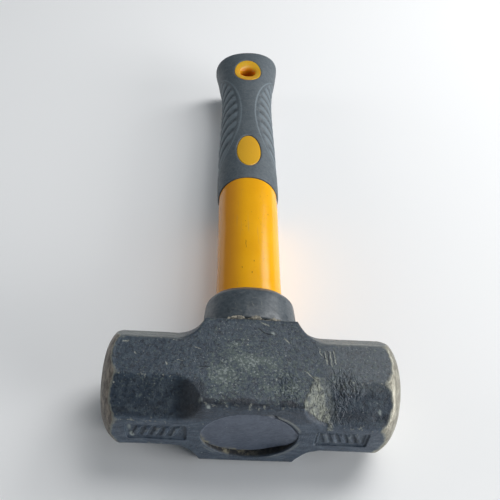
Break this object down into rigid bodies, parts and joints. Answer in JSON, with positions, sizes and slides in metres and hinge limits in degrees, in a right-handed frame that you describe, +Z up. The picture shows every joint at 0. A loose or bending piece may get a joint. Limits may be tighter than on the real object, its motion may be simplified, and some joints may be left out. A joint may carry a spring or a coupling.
{
  "type": "sledgehammer",
  "caption": "Short-handled double-faced sledgehammer with an octagonal forged head, a potted plastic-jacketed handle, a soft grip and a hang hole.",
  "frame": {"origin": "middle of the flat cheek the head rests on when the hammer lies on its side, straight under the crossing of the striking axis and the handle axis", "axes": "+X along the striking axis to one face, +Y up the handle from head to butt, +Z up from the resting cheek to the other cheek"},
  "size_m": [0.104, 0.2645, 0.038],
  "materials": {
    "head": "worn dark blue-grey paint, bare steel at both rims",
    "eye_resin": "cast dark epoxy, satin",
    "core_rod": "pultruded glass-fibre rod",
    "handle_jacket": "moulded yellow plastic, glossy",
    "grip": "moulded soft grey plastic, satin",
    "collar": "moulded soft grey plastic, scuffed"
  },
  "bodies": {
    "root": {"head": "head", "eye_resin": "eye_resin", "core_rod": "core_rod", "handle_jacket": "handle_jacket", "grip": "grip", "collar": "collar"}
  },
  "joints": []
}
